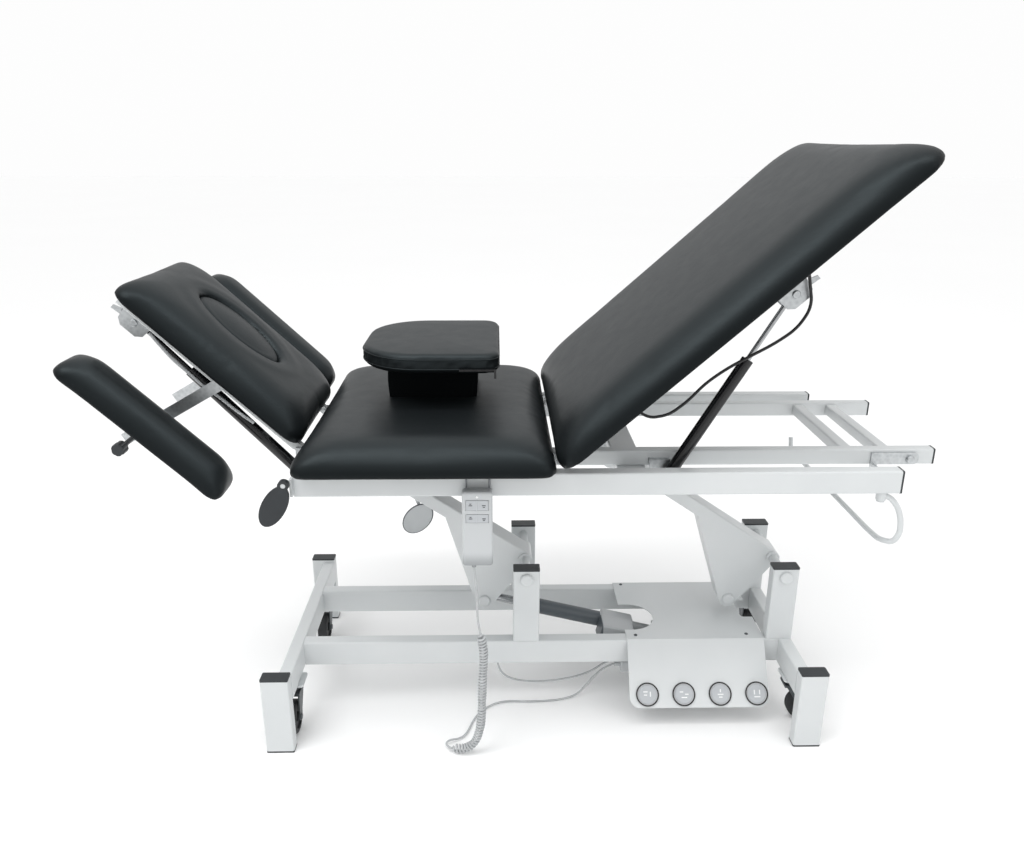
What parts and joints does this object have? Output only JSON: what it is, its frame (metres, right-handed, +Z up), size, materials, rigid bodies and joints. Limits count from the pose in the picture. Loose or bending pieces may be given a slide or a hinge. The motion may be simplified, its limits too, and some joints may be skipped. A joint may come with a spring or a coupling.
{
  "type": "medical exam table",
  "caption": "Electric height-adjustable treatment couch: hinged back and head sections on gas springs, face hole with plug, sliding armrests, scissor-free lift arms and swivel casters.",
  "frame": {"origin": "on the floor, under the centre of the couch's overall box at rest", "axes": "+X along the couch from the head end to the back end, +Y away from the operator's side, +Z up"},
  "size_m": [1.7401, 0.68, 1.2777],
  "materials": {
    "white_steel": "satin",
    "black_vinyl": "satin",
    "black_plastic": "matte",
    "sole_rubber": "matte",
    "zinc_steel": "satin",
    "bolt_white": "gloss",
    "slate_actuator": "satin",
    "rod_steel": "polished",
    "spring_black": "gloss",
    "grey_plastic": "satin",
    "light_grey_cord": "satin",
    "black_cord": "satin",
    "wheel_black": "matte",
    "button_grey": "satin",
    "dark_grey_steel": "satin"
  },
  "bodies": {
    "base": {"base_frame": "white_steel", "base_uprights": "white_steel", "tube_plugs": "black_plastic", "arm_shafts": "bolt_white", "foot_cover": "white_steel", "foot_switch_rings": "black_plastic", "control_box": "grey_plastic", "motor_cable": "black_cord", "floor_cord": "light_grey_cord", "handset_coil": "light_grey_cord"},
    "left_arm": {"lift_arm_left": "white_steel"},
    "right_arm": {"lift_arm_right": "white_steel"},
    "thrust_rod": {"actuator_rod": "rod_steel"},
    "actuator": {"actuator_body": "slate_actuator"},
    "couch_frame": {"lift_frame": "white_steel", "top_frame": "white_steel", "rail_end_caps": "black_plastic", "tilt_ears": "zinc_steel", "section_hinges": "zinc_steel", "seat_pad": "black_vinyl"},
    "head_section": {"head_frame": "white_steel", "head_pad": "black_vinyl", "head_fittings": "zinc_steel", "head_cable": "light_grey_cord"},
    "plug": {"face_plug": "black_vinyl"},
    "head_spring_rod": {"head_strut_rod": "spring_black"},
    "head_spring_tube": {"head_strut_cylinder": "spring_black"},
    "back_section": {"back_frame": "white_steel", "back_pad": "black_vinyl", "back_bracket": "zinc_steel", "back_cable": "black_cord"},
    "back_spring_rod": {"back_strut_rod": "spring_black"},
    "back_spring_tube": {"back_strut_cylinder": "spring_black"},
    "near_armrest": {"near_armrest_pad": "black_vinyl", "near_armrest_sleeve": "zinc_steel"},
    "far_armrest": {"far_armrest_pad": "black_vinyl", "far_armrest_sleeve": "zinc_steel"},
    "near_knob": {"near_clamp_knob": "black_plastic"},
    "far_knob": {"far_clamp_knob": "black_plastic"},
    "handset": {"handset": "grey_plastic", "handset_cord": "light_grey_cord"},
    "rocker_upper": {"handset_rocker_upper": "button_grey"},
    "rocker_lower": {"handset_rocker_lower": "button_grey"},
    "near_paddle": {"head_paddle": "black_plastic"},
    "far_paddle": {"back_paddle": "grey_plastic"},
    "paper_rod": {"paper_roll_rod": "white_steel"},
    "head_pillow": {"pillow": "black_vinyl"},
    "pillow_base": {"pillow_block": "black_vinyl"},
    "foot_key_1": {"foot_button_1": "button_grey"},
    "foot_key_2": {"foot_button_2": "button_grey"},
    "foot_key_3": {"foot_button_3": "button_grey"},
    "foot_key_4": {"foot_button_4": "button_grey"},
    "fork_near_left": {"caster_fork_near_left": "dark_grey_steel"},
    "wheel_near_left": {"caster_wheel_near_left": "wheel_black"},
    "fork_far_left": {"caster_fork_far_left": "dark_grey_steel"},
    "wheel_far_left": {"caster_wheel_far_left": "wheel_black"},
    "fork_near_right": {"caster_fork_near_right": "dark_grey_steel"},
    "wheel_near_right": {"caster_wheel_near_right": "wheel_black"},
    "fork_far_right": {"caster_fork_far_right": "dark_grey_steel"},
    "wheel_far_right": {"caster_wheel_far_right": "wheel_black"}
  },
  "joints": [
    {"name": "lift", "type": "hinge", "parent": "base", "child": "left_arm", "pos_m": [0.0218, 0, 0.335], "axis": [0, 1, 0], "range_deg": [-29, 36], "deforming": ["handset_coil"]},
    {"name": "lift_right", "type": "hinge", "parent": "base", "child": "right_arm", "pos_m": [0.6092, 0, 0.335], "axis": [0, 1, 0], "range_deg": [-29, 36]},
    {"name": "platform", "type": "hinge", "parent": "left_arm", "child": "couch_frame", "pos_m": [-0.35127, 0, 0.58664], "axis": [0, 1, 0], "range_deg": [-36, 29]},
    {"name": "thrust_turn", "type": "hinge", "parent": "left_arm", "child": "thrust_rod", "pos_m": [-0.07532, 0, 0.2232], "axis": [0, 1, 0], "range_deg": [-31, 25]},
    {"name": "thrust_stroke", "type": "slide", "parent": "thrust_rod", "child": "actuator", "axis": [0.9696, 0, -0.2447], "range_m": [-0.065, 0.08]},
    {"name": "head_tilt", "type": "hinge", "parent": "couch_frame", "child": "head_section", "pos_m": [-0.4562, 0, 0.6535], "axis": [0, 1, 0], "range_deg": [-60, 6]},
    {"name": "head_spring_turn", "type": "hinge", "parent": "head_section", "child": "head_spring_rod", "pos_m": [-0.77661, -0.0995, 0.92048], "axis": [0, 1, 0], "range_deg": [-1, 7]},
    {"name": "head_spring_stroke", "type": "slide", "parent": "head_spring_rod", "child": "head_spring_tube", "axis": [0.6776, 0, -0.7354], "range_m": [-0.081, 0.009]},
    {"name": "back_tilt", "type": "hinge", "parent": "couch_frame", "child": "back_section", "pos_m": [0.083, 0, 0.6543], "axis": [0, -1, 0], "range_deg": [-41.8, 10]},
    {"name": "back_spring_turn", "type": "hinge", "parent": "back_section", "child": "back_spring_rod", "pos_m": [0.52831, -0.1995, 0.99422], "axis": [0, -1, 0], "range_deg": [-12, 3]},
    {"name": "back_spring_stroke", "type": "slide", "parent": "back_spring_rod", "child": "back_spring_tube", "axis": [-0.5012, 0, -0.8653], "range_m": [-0.127, 0.031]},
    {"name": "near_armrest_slide", "type": "slide", "parent": "head_section", "child": "near_armrest", "axis": [-0.8695, 0, -0.4939], "range_m": [-0.143, 0.038]},
    {"name": "far_armrest_slide", "type": "slide", "parent": "head_section", "child": "far_armrest", "axis": [-0.8695, 0, -0.4939], "range_m": [0, 0.175]},
    {"name": "near_knob_turn", "type": "hinge", "parent": "near_armrest", "child": "near_knob", "pos_m": [-0.77034, -0.236, 0.70735], "axis": [0, 1, 0], "range_deg": [-180, 180]},
    {"name": "far_knob_turn", "type": "hinge", "parent": "far_armrest", "child": "far_knob", "pos_m": [-0.6461, 0.236, 0.77793], "axis": [0, 1, 0], "range_deg": [-180, 180]},
    {"name": "plug_lift", "type": "slide", "parent": "head_section", "child": "plug", "axis": [0.6934, 0, 0.7206], "range_m": [0, 0.1]},
    {"name": "foot_key_1_press", "type": "slide", "parent": "base", "child": "foot_key_1", "axis": [0, -0.8286, 0.5598], "range_m": [-0.004, 0], "stiffness_N_per_m": 1500, "springref_m": 0.002},
    {"name": "foot_key_2_press", "type": "slide", "parent": "base", "child": "foot_key_2", "axis": [0, -0.8286, 0.5598], "range_m": [-0.004, 0], "stiffness_N_per_m": 1500, "springref_m": 0.002},
    {"name": "foot_key_3_press", "type": "slide", "parent": "base", "child": "foot_key_3", "axis": [0, -0.8286, 0.5598], "range_m": [-0.004, 0], "stiffness_N_per_m": 1500, "springref_m": 0.002},
    {"name": "foot_key_4_press", "type": "slide", "parent": "base", "child": "foot_key_4", "axis": [0, -0.8286, 0.5598], "range_m": [-0.004, 0], "stiffness_N_per_m": 1500, "springref_m": 0.002},
    {"name": "handset_slide", "type": "slide", "parent": "couch_frame", "child": "handset", "axis": [1, 0, 0], "range_m": [-0.05, 0.05]},
    {"name": "rocker_upper_tilt", "type": "hinge", "parent": "handset", "child": "rocker_upper", "pos_m": [-0.083, -0.308, 0.6], "axis": [0, 0, 1], "range_deg": [-4, 4], "stiffness_Nm_per_rad": 0.4},
    {"name": "rocker_lower_tilt", "type": "hinge", "parent": "handset", "child": "rocker_lower", "pos_m": [-0.083, -0.308, 0.572], "axis": [0, 0, 1], "range_deg": [-4, 4], "stiffness_Nm_per_rad": 0.4},
    {"name": "swivel_near_left", "type": "hinge", "parent": "base", "child": "fork_near_left", "pos_m": [-0.505, -0.182, 0.1], "axis": [0, 0, 1], "continuous": true},
    {"name": "roll_near_left", "type": "hinge", "parent": "fork_near_left", "child": "wheel_near_left", "pos_m": [-0.505, -0.212, 0.039], "axis": [1, 0, 0], "continuous": true},
    {"name": "swivel_far_left", "type": "hinge", "parent": "base", "child": "fork_far_left", "pos_m": [-0.505, 0.182, 0.1], "axis": [0, 0, 1], "continuous": true},
    {"name": "roll_far_left", "type": "hinge", "parent": "fork_far_left", "child": "wheel_far_left", "pos_m": [-0.505, 0.152, 0.039], "axis": [1, 0, 0], "continuous": true},
    {"name": "swivel_near_right", "type": "hinge", "parent": "base", "child": "fork_near_right", "pos_m": [0.63, -0.182, 0.1], "axis": [0, 0, 1], "continuous": true},
    {"name": "roll_near_right", "type": "hinge", "parent": "fork_near_right", "child": "wheel_near_right", "pos_m": [0.66, -0.182, 0.039], "axis": [0, 1, 0], "continuous": true},
    {"name": "swivel_far_right", "type": "hinge", "parent": "base", "child": "fork_far_right", "pos_m": [0.63, 0.182, 0.1], "axis": [0, 0, 1], "continuous": true},
    {"name": "roll_far_right", "type": "hinge", "parent": "fork_far_right", "child": "wheel_far_right", "pos_m": [0.63, 0.152, 0.039], "axis": [1, 0, 0], "continuous": true},
    {"name": "near_paddle_pull", "type": "hinge", "parent": "couch_frame", "child": "near_paddle", "pos_m": [-0.4564, -0.299, 0.64], "axis": [0, 1, 0], "range_deg": [0, 20], "stiffness_Nm_per_rad": 2, "springref_deg": -2.86},
    {"name": "far_paddle_pull", "type": "hinge", "parent": "couch_frame", "child": "far_paddle", "pos_m": [-0.30727, 0.062, 0.614], "axis": [0, 1, 0], "range_deg": [0, 12], "stiffness_Nm_per_rad": 2, "springref_deg": -5.73},
    {"name": "paper_rod_swing", "type": "hinge", "parent": "couch_frame", "child": "paper_rod", "pos_m": [0.728, -0.2633, 0.6], "axis": [0, 0, 1], "range_deg": [-90, 0]},
    {"name": "pillow_base_lift", "type": "slide", "parent": "couch_frame", "child": "pillow_base", "axis": [0, 0, 1], "range_m": [0, 0.1]},
    {"name": "pillow_lift", "type": "slide", "parent": "pillow_base", "child": "head_pillow", "axis": [0, 0, 1], "range_m": [0, 0.1]}
  ],
  "couplings": [
    {"joint": "lift_right", "follows": "lift", "ratio": 1},
    {"joint": "platform", "follows": "lift", "ratio": -1},
    {"joint": "thrust_turn", "follows": "lift", "ratio": -0.8395},
    {"joint": "thrust_stroke", "follows": "lift", "m_per_rad": 0.1263},
    {"joint": "head_spring_turn", "follows": "head_tilt", "ratio": -0.1048},
    {"joint": "head_spring_stroke", "follows": "head_tilt", "m_per_rad": 0.0764},
    {"joint": "back_spring_turn", "follows": "back_tilt", "ratio": 0.2685},
    {"joint": "back_spring_stroke", "follows": "back_tilt", "m_per_rad": 0.1725}
  ]
}
